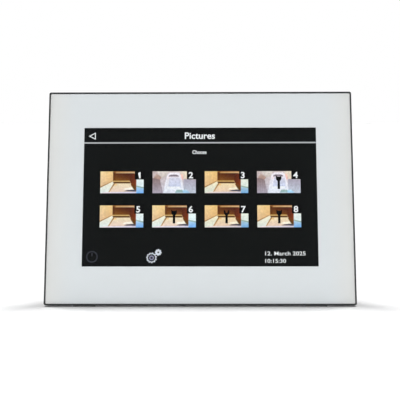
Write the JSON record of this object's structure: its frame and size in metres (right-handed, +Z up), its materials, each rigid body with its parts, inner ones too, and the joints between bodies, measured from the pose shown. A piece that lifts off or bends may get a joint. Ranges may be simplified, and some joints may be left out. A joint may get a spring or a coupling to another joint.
{
  "type": "digital photo frame",
  "caption": "Flat touch-screen photo frame with a wide white border, a slim dark rim, a drafted rear housing and a fold-out leg that leans it back on a table.",
  "frame": {"origin": "on the table, below the middle of the object's box, with the leg opened", "axes": "+X to the right as a viewer sees the screen, +Y away from the viewer, +Z up; the screen faces -Y and leans back 15 degrees"},
  "size_m": [0.1996, 0.0632, 0.1362],
  "materials": {
    "cover_glass": "clear polished glass",
    "white_print": "white ink printed behind the glass",
    "anthracite_plastic": "fine matt moulded texture",
    "grey_rubber": "matt",
    "black_foam": "matt foam tape",
    "clear_film": "clear film",
    "clear_acrylic": "clear polished acrylic",
    "display_glass": "dark display glass",
    "tin_plated_steel": "tin-plated sheet steel",
    "nickel_steel": "bright nickel plate",
    "black_zinc_steel": "black zinc plate",
    "green_circuit_board": "green solder mask",
    "black_moulding": "black moulded plastic",
    "grey_button": "fine matt moulded plastic"
  },
  "bodies": {
    "root": {"cover_glass": "cover_glass", "border_print": "white_print", "glass_adhesive": "black_foam", "touch_sensor": "clear_film", "touch_flex": "grey_button", "lcd_gasket": "black_foam", "display_tray": "tin_plated_steel", "lcd_cell": "display_glass", "diffuser_film": "clear_film", "light_guide": "clear_acrylic", "reflector_film": "white_print", "led_strip": "green_circuit_board", "lcd_flex": "grey_button", "casing_frame": "anthracite_plastic", "rear_cover": "anthracite_plastic", "main_board": "green_circuit_board", "processor_chip": "black_moulding", "memory_chip": "black_moulding", "wifi_module": "tin_plated_steel", "battery_holder": "black_moulding", "clock_battery": "nickel_steel", "power_jack": "black_moulding", "usb_port": "tin_plated_steel", "card_slot": "tin_plated_steel", "power_switch": "black_moulding", "speaker_left": "black_moulding", "speaker_right": "black_moulding", "wifi_antenna": "green_circuit_board", "antenna_cable": "black_moulding", "hinge_block_left": "anthracite_plastic", "hinge_block_right": "anthracite_plastic", "hinge_pin_left": "black_zinc_steel", "hinge_pin_right": "black_zinc_steel", "hinge_screw_left": "black_zinc_steel", "hinge_screw_right": "black_zinc_steel", "friction_washer_left": "nickel_steel", "friction_washer_right": "nickel_steel", "left_foot": "grey_rubber", "right_foot": "grey_rubber", "cover_screw_1": "black_zinc_steel", "cover_screw_2": "black_zinc_steel", "cover_screw_3": "black_zinc_steel", "cover_screw_4": "black_zinc_steel", "cover_screw_5": "black_zinc_steel", "cover_screw_6": "black_zinc_steel", "board_screw_1": "black_zinc_steel", "board_screw_2": "black_zinc_steel", "board_screw_3": "black_zinc_steel", "board_screw_4": "black_zinc_steel"},
    "leg": {"stand_leg": "anthracite_plastic", "leg_foot": "grey_rubber"},
    "button": {"power_button": "grey_button"}
  },
  "joints": [
    {"name": "leg_hinge", "type": "hinge", "parent": "root", "child": "leg", "pos_m": [0, 0.01242, 0.07621], "axis": [-1, 0, 0], "range_deg": [0, 27]},
    {"name": "power_press", "type": "slide", "parent": "root", "child": "button", "axis": [-1, 0, 0], "range_m": [0, 0.0005], "stiffness_N_per_m": 300}
  ]
}
